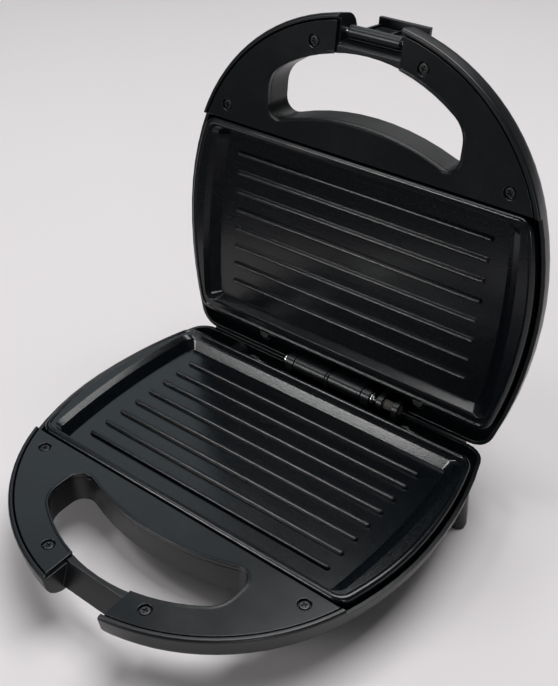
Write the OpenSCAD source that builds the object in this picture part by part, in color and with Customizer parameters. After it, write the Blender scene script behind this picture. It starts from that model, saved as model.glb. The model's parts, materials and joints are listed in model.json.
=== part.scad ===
// Sandwich toaster: two D-shaped housings with ribbed plates, a loop handle, a knuckle hinge and a latch.
// The base stands on four legs. The lid is drawn open, leaning back on its stop.
// Each half is drawn lying down: Y = 0, Z = 0 is the hinge axis and the plane where the halves meet.

/* [Outline] */
// Half width at the widest place
half_w = 121; // [110:0.5:130]
// Y of the widest place
apex_y = -81.5; // [-90:0.5:-72]
// Rear face of the housings
rear_y = 4.5; // [4:0.1:4.8]
// Radius of the side, rear part
rear_side_r = 250; // [200:5:320]
// Radius of the rear corners
corner_r = 14; // [13:0.5:18]
// Y of the centre of the handle arc
handle_cy = -102.3; // [-106:0.1:-99]
// Radius of the handle arc
handle_r = 117.2; // [105:0.1:125]
// Angle on the handle arc at which the side begins
side_angle = 20.7; // [15:0.1:26]
// Seam between handle cover and plate
seam_y = -142; // [-145:0.1:-139]

/* [Housings] */
// Wall of the mouldings
wall = 2.4; // [2:0.1:3]
// Thickness of one half at the handle
half_t = 20.6; // [19.5:0.1:23]
// How far the side wall stays below the meeting plane
wall_drop = 5; // [4.9:0.1:6.5]
// Height of the lip inside the rear wall of the base
rear_lip_h = 2.6; // [1.8:0.1:3]
// Thickness of that lip
rear_lip_t = 1.4; // [1:0.1:1.6]
// Lower edge radius of the base
base_edge_r = 13; // [9:0.5:14]
// Upper edge radius of the lid
lid_edge_r = 11; // [9:0.5:12]
// Depth of the base under the meeting plane
base_depth = 33; // [31:0.5:36]
// Height of the lid above the meeting plane
lid_depth = 38; // [34:0.5:42]
// Distance of the dome from the side
dome_in = 13; // [11:0.5:20]
// Half length of the dome along Y
dome_b = 71; // [66:0.5:73]
// Y of the dome centre
dome_cy = -78; // [-81:0.5:-77]
// Corner fullness of the dome, 2 is an ellipse
dome_n = 3.2; // [2.6:0.1:4]

/* [Handle] */
// Top of the handle cover below the meeting plane
cover_z = -1.7; // [-3:0.1:-1.2]
// Thickness of the handle cover
cover_t = 2.6; // [2.2:0.1:3.2]
// Width of the moulded lip outside the cover
lip_w = 3.2; // [2.8:0.1:4]
// Width of the handle bar in front of the finger slot
handle_bar = 20.8; // [18:0.1:24]
// Radius of the rear edge of the finger slot
slot_rear_r = 149; // [130:1:180]
// Distance of the finger slot from the seam
slot_back = 20; // [18:0.1:22]
// Distance of the slot's ends from the handle arc
slot_end_in = 55.2; // [52:0.1:62]
// Rear corner radius of the slot
slot_corner_rear = 8; // [6:0.5:10]
// Front corner radius of the slot
slot_corner_front = 16; // [12:0.5:18]
// Half width of the latch notch
notch_half = 19; // [18:0.1:21]

/* [Grill plates] */
// Gap between the closed plates
plate_gap = 0.3; // [0.3:0.1:2]
// Inset of the plate edge from the side of the housing
plate_inset = 5.6; // [5.2:0.1:7]
// Distance of the plate from the rear face
plate_rear_in = 16; // [15:0.1:18]
// Distance of the tray from the side at the widest place
tray_in = 20.5; // [19:0.5:25]
// How much more the tray spans in the middle than at its ends
tray_bulge = 3.5; // [1:0.1:6]
// Distance of the tray from the seam
tray_front_in = 5.4; // [4.5:0.1:8]
// Distance of the tray from the rear edge of the plate
tray_rear_in = 6.5; // [5.5:0.1:10]
// Corner radius of the tray at the rim
tray_corner = 5; // [4:0.1:9]
// Slope of the tray walls, run of each wall
tray_run = 3.4; // [1:0.1:5]
// Depth of the tray under the rim
tray_depth = 8; // [6:0.1:9]
// Thickness of the tray floor
floor_t = 3.2; // [2.6:0.1:4]
// Most ribs in a tray, if they fit
rib_count = 8; // [4:1:12]
// Spacing of the ribs
rib_pitch = 12.4; // [10:0.1:13]
// Distance of the first rib from the rear of the tray
rib_start = 16.7; // [12:0.1:20]
// Distance of a rib's end from the side of the tray
rib_end = 14.5; // [8:0.5:24]
// Height of a rib over the floor
rib_h = 2.3; // [1.5:0.1:3.5]
// Width of a rib
rib_w = 3.2; // [2.5:0.1:4.5]

/* [Hinge] */
// Height of the meeting plane over the table
part_z = 42.2; // [41:0.1:46]
// How far the lid is open
open_angle = 95; // [93:0.5:96]
// Outer radius of the knuckles
knuckle_r = 5; // [4.6:0.1:5]
// Radius of the hinge pin
pin_r = 2; // [1.6:0.1:2.4]
// Running clearance on the hinge pin
pin_clear = 0.05; // [0.03:0.01:0.1]
// Half width of the middle ear
mid_ear_half = 0.9; // [0.8:0.1:2]
// Length of one lid knuckle
knuckle_len = 23.9; // [18:0.1:28]
// Length of an end ear
ear_len = 6; // [4:0.1:8]
// Gap between knuckles
knuckle_gap = 0.3; // [0.2:0.05:0.5]

/* [Latch] */
// Distance of the latch pin from the front of the handle
latch_in = 11.5; // [11:0.1:12]
// Height of the latch pin over the meeting plane
latch_z = 9.5; // [8.5:0.1:10.5]
// Radius of the latch pin
latch_pin_r = 1.5; // [1.2:0.1:1.8]
// Outer radius of the latch knuckle
latch_knuckle_r = 3.4; // [3:0.1:3.6]
// Half width of the latch
latch_half = 16; // [13:0.1:17.5]
// Thickness of the latch plate
latch_t = 2.5; // [2:0.1:3]
// Offset of the outer face of the latch from its pin
latch_off = 4.6; // [4.2:0.1:4.6]
// Thickness of the hook
hook_t = 3; // [2.4:0.1:3.5]
// How far the hook reaches past the pin
hook_reach = 3.4; // [2.6:0.1:3.6]
// Height of the catch under the meeting plane
catch_z = -17.5; // [-17.8:0.1:-17]
// Play between hook and catch
latch_play = 0.3; // [0.25:0.05:0.5]

/* [Legs] */
// Distance of the rear legs from the side
rear_leg_in = 14; // [13:0.5:22]
// Distance of the rear legs from the rear face
rear_leg_back = 26; // [22:0.5:32]
// Distance of the front legs from the side
front_leg_in = 41; // [35:0.5:60]
// Distance of the front legs from the seam
front_leg_back = 11; // [6:0.5:22]
// Radius of a foot pad
pad_r = 4.6; // [4:0.1:5]
// Thickness of a foot pad
pad_t = 1.8; // [1.5:0.1:3]

/* [Inner parts] */
// Radius of the heater tube
heater_r = 3.2; // [2.5:0.1:3.5]
// Distance of the heater legs from the sides of the reflector
heater_side_in = 18; // [13:0.5:24]
// Distance of the straight heater legs from the ends of the reflector
heater_end_in = 24; // [22:0.5:34]
// Length of the plain end of a heater leg
heater_end = 9; // [7:0.5:10]
// Length of a heater terminal
heater_tail = 10; // [7:0.5:11]
// Sheet of the reflector and clamps
sheet_t = 0.8; // [0.6:0.1:1.2]
// Distance of the reflector's ends from the outline of the dome
reflector_end_in = 22; // [21:0.5:30]
// Distance of the reflector's sides from the outline of the dome
reflector_side_in = 25; // [24:0.5:30]
// Length of a socket of the wire sleeve
socket_len = 4; // [3:0.1:5]
// Gap between the sockets of the wire sleeve
sleeve_gap = 7; // [5:0.5:9]
// Radius of the wire sleeve
sleeve_r = 3; // [2.5:0.1:3.4]
// Distance of the reflector's posts from its edges
post_in = 12; // [8:0.5:15]
// Distance of the terminal block from the middle of the heater
block_back = 15; // [12:0.5:18]
// Height of the terminal block over the bottom of the base
block_up = 5; // [4:0.1:6]
// Distance of the cord inlet from the side
inlet_in = 49; // [45:0.5:60]
// Length of the boss round the cord inlet
inlet_boss_len = 10; // [8:0.5:11]
// Radius of the cord inlet
inlet_r = 6; // [5:0.1:7]
// Radius of a lamp lens
lens_r = 3.6; // [3:0.1:4.5]
// Distance of the lenses from the finger slot
lens_back = 7.6; // [7.2:0.1:9]

/* [Fasteners] */
// Radius of the screw shanks
screw_r = 1.5; // [1.2:0.1:1.8]
// Radius of the screw heads
head_r = 3.2; // [2.8:0.1:3.6]
// Height of the screw heads
head_h = 1.6; // [1.2:0.1:1.8]
// Radius of the screw bosses
boss_r = 3.6; // [3.2:0.1:4]
// Clearance round the shanks
screw_clear = 0.08; // [0.05:0.01:0.2]
// Length of the screws under their heads
screw_len = 8; // [6:0.1:9]
// Distance of the rear plate screws from the rear face
plate_screw_in = 10.1; // [9.8:0.1:10.5]
// Distance of the cover screws from the handle arc
cover_screw_in = 13.3; // [12:0.1:14]
// Distance of the rear cover screws from the seam
cover_screw_back = 9.3; // [8:0.1:12]
// Angle of the front cover screws on the handle arc
cover_screw_angle = 71; // [66:0.5:73]

/* [Hidden] */
$fn = 64;
EPS = 0.01;
SEAT = 0.02;

// Side curve from the handle arc to the widest place, without a corner at either end
side_from = [handle_r * cos(side_angle), handle_cy - handle_r * sin(side_angle)];
side_to = [half_w, apex_y];
side_pull = norm(side_to - side_from) / 3;
side_from_pull = side_from + side_pull * [sin(side_angle), cos(side_angle)];
side_to_pull = side_to - [0, side_pull];
rear_side_x = half_w - rear_side_r;
corner_cy = rear_y - corner_r;
corner_cx = rear_side_x + sqrt(pow(rear_side_r - corner_r, 2) - pow(corner_cy - apex_y, 2));
corner_angle = atan2(corner_cy - apex_y, corner_cx - rear_side_x);
handle_tip_y = handle_cy - handle_r;

// Finger slot
slot_front_r = handle_r - handle_bar;
slot_front_y = handle_cy - slot_front_r;
slot_rear_y = seam_y - slot_back;
slot_half = handle_r - slot_end_in;
slot_depth = slot_rear_y - slot_front_y;
slot_rear_fillet = min(slot_corner_rear, slot_depth * 0.218);
slot_front_fillet = min(slot_corner_front, slot_depth * 0.436);
slot_rear_cy = slot_rear_y + slot_rear_r;
slot_rear_cx2 = slot_half - slot_rear_fillet;
slot_rear_cy2 = slot_rear_cy - sqrt(pow(slot_rear_r + slot_rear_fillet, 2) - pow(slot_rear_cx2, 2));
slot_front_cx2 = slot_half - slot_front_fillet;
slot_front_cy2 = handle_cy - sqrt(pow(slot_front_r - slot_front_fillet, 2) - pow(slot_front_cx2, 2));

// Levels of one half, counted down from the meeting plane
inner_floor_z = -(half_t - wall);
cover_bottom_z = cover_z - cover_t;
rim_z = -plate_gap / 2;
plate_front_y = seam_y + 1.4;
plate_rear_y = rear_y - plate_rear_in;
tray_half = half_w - tray_in;
tray_front_y = seam_y + tray_front_in;
tray_rear_y = plate_rear_y - tray_rear_in;
tray_cy = (tray_front_y + tray_rear_y) / 2;
tray_side_r = (pow((tray_rear_y - tray_front_y) / 2, 2) + pow(tray_bulge, 2)) / (2 * tray_bulge);
tray_side_x = tray_half - tray_side_r;
tray_corner_cy = tray_rear_y - tray_corner;
tray_corner_cx = tray_side_x + sqrt(pow(tray_side_r - tray_corner, 2) - pow(tray_corner_cy - tray_cy, 2));
tray_corner_angle = atan2(tray_corner_cy - tray_cy, tray_corner_cx - tray_side_x);
rib_half = tray_half - rib_end;
rib_rear_y = tray_rear_y - rib_start;
ribs = min(rib_count, floor((rib_rear_y - tray_front_y - tray_run - rib_w) / rib_pitch) + 1);
dome_a = half_w - dome_in;
tray_z = rim_z - tray_depth;
plate_bottom_z = tray_z - floor_t;
skirt_z = -wall_drop - 4;
rim_t = 2.6;
skirt_out = 1.2;
skirt_in = 1.2;
cover_r = handle_r - lip_w;

// Latch and web behind the slot
latch_y = handle_tip_y + latch_in;
web_rear_y = slot_front_y + 4.7;
web_face_y = latch_y + latch_off + latch_play;
latch_len = latch_z - catch_z + latch_play + hook_t;
notch_wall = wall;
catch_y = latch_y + hook_reach - 1.8;

// Places along the hinge
mid_x1 = mid_ear_half + knuckle_gap;
knuckle_x1 = mid_x1 + knuckle_len;
ear_x0 = knuckle_x1 + knuckle_gap;
ear_x1 = ear_x0 + ear_len;
sleeve_x0 = ear_x1 + 5;
sleeve_x1 = sleeve_x0 + 2 * socket_len + sleeve_gap;

// Cord inlet and lamps
inlet_x = half_w - inlet_in;
inlet_z = -13.4;
inlet_flange = 1.2;
lens_x = 13;
lens_y = slot_rear_y + lens_back;

// Place of the two halves
lid_tilt = open_angle - 90;
latch_back = (hook_reach - latch_y) * sin(lid_tilt) + (latch_z + latch_len) * cos(lid_tilt);
frame_y = -(handle_tip_y + latch_back) / 2;
leg_bottom_z = -part_z + pad_t;
rear_leg_x = half_w - rear_leg_in;
rear_leg_y = rear_y - rear_leg_back;
front_leg_x = half_w - front_leg_in;
front_leg_y = seam_y + front_leg_back;

// Screws of the handle cover, X and Y
cover_screw_r = handle_r - cover_screw_in;
cover_screw_y = seam_y - cover_screw_back;
cover_screws = [[sqrt(pow(cover_screw_r, 2) - pow(cover_screw_y - handle_cy, 2)), cover_screw_y],
    [cover_screw_r * cos(cover_screw_angle), handle_cy - cover_screw_r * sin(cover_screw_angle)]];
plate_screw_x_front = slot_half + wall + boss_r + 3;
plate_screw_y_front = seam_y - wall - boss_r + 0.5;
plate_screw_x_rear = sleeve_x1 + boss_r + 3;
plate_screw_y_rear = rear_y - plate_screw_in;
lug_z = -9;
lug_t = 2.4;
pilot_len = screw_len + 1;

// Heater and what hangs under the plate
heater_cy = dome_cy + 1;
reflector_half = dome_a - reflector_end_in;
reflector_b = dome_b - reflector_side_in;
heater_half = reflector_half - heater_end_in;
heater_bend = reflector_b - heater_side_in;
heater_z = plate_bottom_z - heater_r - SEAT;
strap_z = heater_z - heater_r;
strap_half = heater_bend + heater_r + sheet_t + SEAT;
strap_lip = 4;
clamp_x = [22 - heater_half, 10, heater_half - 12];
clamp_bore = 8;
reflector_z = strap_z - sheet_t - head_h - 1;
post_x = reflector_half - post_in;
post_y = reflector_b - post_in;
block_x = -34;
block_y = heater_cy + block_back;
block_z = block_up - base_depth;
thermostat_x = -15;
thermostat_r = 8;
fuse_x = 20;
fuse_len = 24;

function arc(c, r, a0, a1, n) = [for (i = [0:n]) c + r * [cos(a0 + (a1 - a0) * i / n), sin(a0 + (a1 - a0) * i / n)]];
function tail(list) = [for (i = [1:len(list) - 1]) list[i]];
function flip_x(list) = [for (i = [len(list) - 1:-1:0]) [-list[i][0], list[i][1]]];
function inner(list) = [for (i = [1:len(list) - 2]) list[i]];

function side_point(t) = pow(1 - t, 3) * side_from + 3 * pow(1 - t, 2) * t * side_from_pull
    + 3 * (1 - t) * t * t * side_to_pull + t * t * t * side_to;
function side_normal(t) = let (v = pow(1 - t, 2) * (side_from_pull - side_from)
        + 2 * (1 - t) * t * (side_to_pull - side_from_pull) + t * t * (side_to - side_to_pull))
    [v[1], -v[0]] / norm(v);

// Right half of the D outline, from the handle tip to the rear, moved in by d
function half_outline(d) = concat(
    arc([0, handle_cy], handle_r - d, -90, -side_angle, 18),
    [for (i = [1:5]) side_point(i / 5) - d * side_normal(i / 5)],
    tail(arc([rear_side_x, apex_y], rear_side_r - d, 0, corner_angle, 5)),
    tail(arc([corner_cx, corner_cy], corner_r - d, corner_angle, 90, 5)));
function outline(d) = concat(half_outline(d), inner(concat([[0, 0]], flip_x(half_outline(d)))));

// Right half of the finger slot, grown by g
function half_slot(g) = concat(
    arc([0, handle_cy], slot_front_r + g, -90,
        atan2(slot_front_cy2 - handle_cy, slot_front_cx2), 8),
    tail(arc([slot_front_cx2, slot_front_cy2], slot_front_fillet + g,
        atan2(slot_front_cy2 - handle_cy, slot_front_cx2), 0, 5)),
    arc([slot_rear_cx2, slot_rear_cy2], slot_rear_fillet + g, 0,
        atan2(slot_rear_cy - slot_rear_cy2, -slot_rear_cx2), 6),
    tail(arc([0, slot_rear_cy], slot_rear_r - g,
        atan2(slot_rear_cy2 - slot_rear_cy, slot_rear_cx2), -90, 5)));
function slot_outline(g) = concat(half_slot(g), inner(flip_x(half_slot(g))));

// Dome outline, a full oval whose corners fill out with dome_n
function spow(v, p) = sign(v) * pow(abs(v), p);
function dome_outline(d) = [for (i = [0:55]) let (t = 360 * i / 56)
    [(dome_a - d) * spow(cos(t), 2 / dome_n), dome_cy + (dome_b - d) * spow(sin(t), 2 / dome_n)]];

// Edge of a half: lip, drafted wall and a round lower edge. Each entry is [z, inset]
function edge_rings(edge_r, inset, bottom) = let (draft = 0.8) concat(
    [[-bottom + edge_r - EPS, draft + inset]],
    [for (i = [1:5]) let (a = 90 * i / 5)
        [-bottom + edge_r * (1 - sin(a)), draft + inset + edge_r * (1 - cos(a))]]);
function outer_rings(edge_r) = concat(
    [[cover_z + 0.3, 1.4], [cover_z - 0.1, 0.5], [cover_z - 1.2, 0]], edge_rings(edge_r, 0, half_t));
function inner_rings(edge_r) = concat(
    [[5, wall], [-half_t + edge_r + 1, wall + 0.4]], edge_rings(edge_r - wall, wall, half_t - wall));
function dome_rings(depth, inset, top) = let (run = 58) concat(
    [[top, inset - 0.4]],
    [for (i = [0:6]) let (a = 90 * i / 6)
        [-(half_t - 1.5) - (depth - half_t + 1.5) * sin(a), inset + run * (1 - cos(a))]]);

// Closed solid through rings of equal point count, ordered from top to bottom
module loft(loops) {
    n = len(loops[0][1]);
    m = len(loops);
    points = [for (ring = loops) for (p = ring[1]) [p[0], p[1], ring[0]]];
    sides = [for (k = [0:m - 2]) for (i = [0:n - 1]) let (j = (i + 1) % n)
        each [[k * n + i, k * n + j, (k + 1) * n + i], [k * n + j, (k + 1) * n + j, (k + 1) * n + i]]];
    lids = [[for (i = [n - 1:-1:0]) i], [for (i = [0:n - 1]) (m - 1) * n + i]];
    polyhedron(points, concat(sides, lids), convexity = 6);
}
module edge_loft(rings) {
    loft([for (r = rings) [r[0], outline(r[1])]]);
}
module dome_loft(rings) {
    loft([for (r = rings) [r[0], dome_outline(r[1])]]);
}
module both_sides() {
    children();
    mirror([1, 0, 0]) children();
}
module along_x(x0, x1, r) {
    translate([x0, 0, 0]) rotate([0, 90, 0]) cylinder(r = r, h = x1 - x0);
}
module slab_x(x0, x1) {
    translate([x0, 0, 0]) rotate([90, 0, 90]) linear_extrude(x1 - x0) children();
}
module box(lo, hi) {
    translate(lo) cube(hi - lo);
}
module slot_cut(g, z0, z1) {
    translate([0, 0, z0]) linear_extrude(z1 - z0) polygon(slot_outline(g));
}

// Shared moulding of both halves
module inner_space(edge_r, depth) {
    edge_loft(inner_rings(edge_r));
    dome_loft(dome_rings(depth - wall, wall, -half_t + 7));
}
module shell(edge_r, depth) {
    difference() {
        union() {
            edge_loft(outer_rings(edge_r));
            dome_loft(dome_rings(depth, 0, -half_t + 6));
        }
        inner_space(edge_r, depth);
    }
}
module boss(x, y, z) {
    translate([x, y, inner_floor_z - 1]) cylinder(r = boss_r, h = z - inner_floor_z + 1);
}
module pilot(x, y, z) {
    translate([x, y, z - pilot_len]) cylinder(r = screw_r + screw_clear, h = pilot_len + 1);
}
module screw(x, y, z) {
    translate([x, y, z]) cylinder(r = head_r, h = head_h);
    translate([x, y, z - screw_len]) cylinder(r = screw_r, h = screw_len);
}
module housing_half(edge_r, depth) {
    difference() {
        union() {
            difference() {
                shell(edge_r, depth);
                box([-half_w - 1, seam_y, -wall_drop], [half_w + 1, rear_y + 1, 10]);
            }
            intersection() {
                union() {
                    slot_cut(wall, -half_t, cover_bottom_z - SEAT);
                    box([-half_w, seam_y - wall, -half_t], [half_w, seam_y, cover_bottom_z - SEAT]);
                    both_sides()
                        box([notch_half, -half_w * 2, -half_t],
                            [notch_half + notch_wall, slot_front_y + 2, cover_bottom_z - SEAT]);
                    both_sides() for (p = cover_screws) boss(p[0], p[1], cover_bottom_z - SEAT);
                    both_sides() boss(plate_screw_x_front, plate_screw_y_front, lug_z - lug_t - SEAT);
                    both_sides() boss(plate_screw_x_rear, plate_screw_y_rear, lug_z - lug_t - SEAT);
                }
                edge_loft(outer_rings(edge_r));
            }
        }
        slot_cut(0, -half_t - 1, 5);
        both_sides() for (p = cover_screws) pilot(p[0], p[1], cover_bottom_z);
        both_sides() pilot(plate_screw_x_front, plate_screw_y_front, lug_z);
        both_sides() pilot(plate_screw_x_rear, plate_screw_y_rear, lug_z);
        both_sides()
            box([plate_screw_x_front - 7, seam_y - wall - 1, lug_z - lug_t - 0.4],
                [plate_screw_x_front + 7, seam_y + 1, 5]);
    }
}

// Posts under the reflector, cut to the dome they stand in
module reflector_posts(depth) {
    intersection() {
        both_sides_y(heater_cy) both_sides() translate([post_x, post_y, -depth])
            cylinder(r = 3, h = reflector_z + depth - SEAT);
        dome_loft(dome_rings(depth - 1, 1, -half_t + 6));
    }
}

// Base half
module block_posts() {
    for (x = [block_x - 9, block_x + 9]) translate([x, block_y, -base_depth + 1])
        cylinder(r = 2.5, h = block_z + base_depth - 1 - SEAT);
}
module base_web() {
    slab_x(-notch_half - 1, notch_half + 1) polygon([[web_rear_y, -3.2], [slot_front_y - wall, -3.2],
        [catch_y, catch_z], [catch_y + 2.6, catch_z], [catch_y + 2.6, -half_t], [web_rear_y, -half_t]]);
}
module leg(x, y, top_x, top_y, recess_y) {
    difference() {
        hull() {
            translate([x, y, leg_bottom_z]) cylinder(r = pad_r + 0.8, h = 1, $fn = 24);
            translate([top_x, top_y, -half_t + 2]) cylinder(r = pad_r + 5, h = 1, $fn = 24);
        }
        translate([x - 6, y + recess_y, leg_bottom_z + 5])
            cylinder(r1 = pad_r, r2 = pad_r + 3, h = -half_t - leg_bottom_z - 5.5, $fn = 24);
    }
}
module ears(spans, edge_r) {
    for (s = spans) {
        along_x(s[0], s[1], knuckle_r);
        slab_x(s[0], s[1])
            polygon([[-knuckle_r, 0], [-knuckle_r - 0.4, -4], [rear_y - 0.6, -4], [rear_y - 0.6, 0]]);
    }
    intersection() {
        for (s = spans)
            slab_x(s[0], s[1]) polygon([[-knuckle_r - 0.3, -3], [-knuckle_r - 2, inner_floor_z - 1],
                [rear_y - 0.6, inner_floor_z - 1], [rear_y - 0.6, -3]]);
        edge_loft(outer_rings(edge_r));
    }
}
// Round boss that carries the cord inlet on the curved wall
module inlet_boss() {
    translate([-inlet_x, rear_y - SEAT, inlet_z]) rotate([90, 0, 0]) cylinder(r = inlet_r + 1.1, h = inlet_boss_len);
}
// Low lip that closes the gap behind the hinge, clear of the lid's knuckles and socket
module rear_lip(x0) {
    box([x0 - 1, rear_y - wall - 0.2, -wall_drop - 1],
        [corner_cx - 1, rear_y - wall - 0.2 + rear_lip_t, rear_lip_h - wall_drop]);
}
module base_housing() {
    color([0.05, 0.055, 0.06])
    difference() {
        union() {
            difference() {
                housing_half(base_edge_r, base_depth);
                box([-notch_half, -half_w * 2, -half_t - 1], [notch_half, slot_front_y + wall, 5]);
            }
            difference() {
                base_web();
                slot_cut(0, -half_t - 1, 5);
            }
            ears([[-mid_ear_half, mid_ear_half], [ear_x0, ear_x1], [-ear_x1, -ear_x0],
                [sleeve_x1 - socket_len, sleeve_x1]], base_edge_r);
            inlet_boss();
            difference() {
                both_sides() {
                    leg(rear_leg_x, rear_leg_y, rear_leg_x - 6, rear_leg_y, -4);
                    leg(front_leg_x, front_leg_y, front_leg_x - 4, front_leg_y + 4, 4);
                }
                inner_space(base_edge_r, base_depth);
            }
            reflector_posts(base_depth);
            block_posts();
            rear_lip(sleeve_x1);
            mirror([1, 0, 0]) rear_lip(ear_x1 + 4);
        }
        along_x(-ear_x1 - 1, ear_x1 + 1, pin_r + pin_clear / 2);
        along_x(sleeve_x0, sleeve_x1 + socket_len, sleeve_r + pin_clear);
        translate([-inlet_x, rear_y + 1, inlet_z]) rotate([90, 0, 0]) cylinder(r = inlet_r, h = inlet_boss_len + 2);
        both_sides() translate([rear_leg_x, rear_leg_y, leg_bottom_z - 1]) cylinder(r = 1.5, h = 5);
        both_sides() translate([front_leg_x, front_leg_y, leg_bottom_z - 1]) cylinder(r = 1.5, h = 5);
    }
}
module foot_pads() {
    color([0.09, 0.09, 0.09])
    both_sides() for (p = [[rear_leg_x, rear_leg_y], [front_leg_x, front_leg_y]])
        translate([p[0], p[1], -part_z]) {
            cylinder(r = pad_r, h = pad_t - SEAT);
            cylinder(r = 1.45, h = pad_t + 3.5);
        }
}

// Handle cover of either half
module handle_cover() {
    difference() {
        union() {
            translate([0, 0, cover_bottom_z]) linear_extrude(cover_t) intersection() {
                translate([0, handle_cy]) circle(r = cover_r - 0.2, $fn = 180);
                translate([-half_w, handle_tip_y]) square([2 * half_w, seam_y - 0.3 - handle_tip_y]);
            }
            slot_cut(1.3, cover_bottom_z, cover_z + 0.4);
        }
        slot_cut(0, cover_bottom_z - 1, 5);
        box([-notch_half - notch_wall / 2, -half_w * 2, cover_bottom_z - 1],
            [notch_half + notch_wall / 2, slot_front_y + 10, 5]);
        both_sides() for (p = cover_screws) translate([p[0], p[1], cover_bottom_z - 1]) {
            cylinder(r = screw_r + 0.2, h = 5);
            translate([0, 0, 1 + cover_t - head_h - 0.2]) cylinder(r = head_r + 0.3, h = 5);
        }
    }
}
module base_handle_cover() {
    color([0.17, 0.19, 0.2]) handle_cover();
}
module lid_handle_cover() {
    color([0.17, 0.19, 0.2]) handle_cover();
}
module cover_screw_set() {
    both_sides() for (p = cover_screws) screw(p[0], p[1], cover_z - head_h - 0.2);
}
module plate_screw_set() {
    both_sides() screw(plate_screw_x_front, plate_screw_y_front, lug_z + SEAT);
    both_sides() screw(plate_screw_x_rear, plate_screw_y_rear, lug_z + SEAT);
}

// Grill plate of either half
module plate_outline(d) {
    intersection() {
        polygon(outline(plate_inset + d));
        translate([-half_w, plate_front_y + d]) square([2 * half_w, plate_rear_y - plate_front_y - 2 * d]);
    }
}
function tray_side(d) = concat(
    arc([tray_corner_cx, 2 * tray_cy - tray_corner_cy], tray_corner - d, -90, -tray_corner_angle, 4),
    tail(arc([tray_side_x, tray_cy], tray_side_r - d, -tray_corner_angle, tray_corner_angle, 6)),
    tail(arc([tray_corner_cx, tray_corner_cy], tray_corner - d, tray_corner_angle, 90, 4)));
function tray_outline(d) = concat(tray_side(d), flip_x(tray_side(d)));
module tray() {
    loft([[rim_z + 1, tray_outline(0)], [rim_z, tray_outline(0)], [tray_z, tray_outline(tray_run)]]);
}
module rib(y) {
    top_r = rib_w / 2;
    translate([0, y, tray_z + rib_h - top_r]) {
        along_x(-rib_half + top_r, rib_half - top_r, top_r);
        both_sides() translate([rib_half - top_r, 0, 0]) sphere(r = top_r);
        both_sides() translate([rib_half - top_r, 0, -rib_h - 1 + top_r]) cylinder(r = top_r, h = rib_h + 1 - top_r);
    }
    box([-rib_half + top_r, y - top_r, tray_z - 1], [rib_half - top_r, y + top_r, tray_z + rib_h - top_r]);
}
module lug(x, y, y_in) {
    difference() {
        union() {
            translate([x, y, lug_z - lug_t]) cylinder(r = 5.5, h = lug_t);
            box([x - 5.5, min(y, y_in), lug_z - lug_t], [x + 5.5, max(y, y_in), lug_z]);
        }
        translate([x, y, lug_z - lug_t - 1]) cylinder(r = screw_r + 0.2, h = 5);
    }
}
module grill_plate() {
    difference() {
        union() {
            loft([[rim_z - 0.5, tray_outline(-floor_t)], [plate_bottom_z, tray_outline(tray_run - floor_t)]]);
            translate([0, 0, rim_z - rim_t]) linear_extrude(rim_t) plate_outline(0);
            translate([0, 0, skirt_z]) linear_extrude(rim_z - 1 - skirt_z) difference() {
                plate_outline(-skirt_out);
                plate_outline(skirt_in);
            }
            both_sides() lug(plate_screw_x_front, plate_screw_y_front, tray_front_y + 3);
            both_sides() lug(plate_screw_x_rear, plate_screw_y_rear, tray_rear_y - 3);
            for (x = clamp_x) translate([x, heater_cy, strap_z])
                cylinder(r = 4, h = plate_bottom_z - strap_z + 1);
        }
        tray();
        for (x = clamp_x) translate([x, heater_cy, strap_z - 1]) cylinder(r = screw_r + screw_clear, h = clamp_bore);
    }
    for (k = [0:ribs - 1]) rib(rib_rear_y - k * rib_pitch);
}
module base_plate() {
    color([0.1, 0.105, 0.11]) grill_plate();
}
module lid_plate() {
    color([0.1, 0.105, 0.11]) grill_plate();
}

// Heater: a bent tube held by straps, over a reflector tray
module heater() {
    translate([-heater_half + heater_bend, heater_cy, heater_z]) rotate([0, 0, 90])
        rotate_extrude(angle = 180) translate([heater_bend, 0]) circle(r = heater_r);
    both_sides_y(heater_cy) translate([0, heater_bend, heater_z]) {
        along_x(-heater_half + heater_bend, heater_half, heater_r);
        along_x(heater_half, heater_half + heater_end, heater_r - 0.8);
        along_x(heater_half + heater_end, heater_half + heater_end + heater_tail, 1.2);
    }
}
module both_sides_y(y) {
    translate([0, y, 0]) {
        children();
        mirror([0, 1, 0]) children();
    }
}
module heater_clamps() {
    for (x = clamp_x) difference() {
        box([x - 5, heater_cy - strap_half, strap_z - SEAT - sheet_t],
            [x + 5, heater_cy + strap_half, strap_z - SEAT + strap_lip]);
        box([x - 6, heater_cy - strap_half + sheet_t, strap_z - SEAT],
            [x + 6, heater_cy + strap_half - sheet_t, strap_z + strap_lip + 1]);
        translate([x, heater_cy, strap_z - 2]) cylinder(r = screw_r + 0.2, h = 5);
    }
}
module clamp_screws() {
    for (x = clamp_x) translate([x, heater_cy, 0]) mirror([0, 0, 1])
        translate([0, 0, -strap_z + sheet_t + 2 * SEAT]) {
            cylinder(r = head_r, h = head_h);
            translate([0, 0, 1.2 - clamp_bore]) cylinder(r = screw_r, h = clamp_bore - 0.7);
        }
}
module reflector() {
    difference() {
        box([-reflector_half, heater_cy - reflector_b, reflector_z],
            [reflector_half, heater_cy + reflector_b, plate_bottom_z - 0.3]);
        box([-reflector_half + sheet_t, heater_cy - reflector_b + sheet_t, reflector_z + sheet_t],
            [reflector_half - sheet_t, heater_cy + reflector_b - sheet_t, plate_bottom_z + 1]);
        both_sides_y(heater_cy) translate([reflector_half - 3, heater_bend, heater_z]) along_x(0, 6, 3);
    }
}
module base_heater() {
    color("dimgray") heater();
}
module lid_heater() {
    color("dimgray") heater();
}
module base_heater_clamps() {
    color("silver") heater_clamps();
}
module lid_heater_clamps() {
    color("silver") heater_clamps();
}
module base_clamp_screws() {
    color("silver") clamp_screws();
}
module lid_clamp_screws() {
    color("silver") clamp_screws();
}
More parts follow.
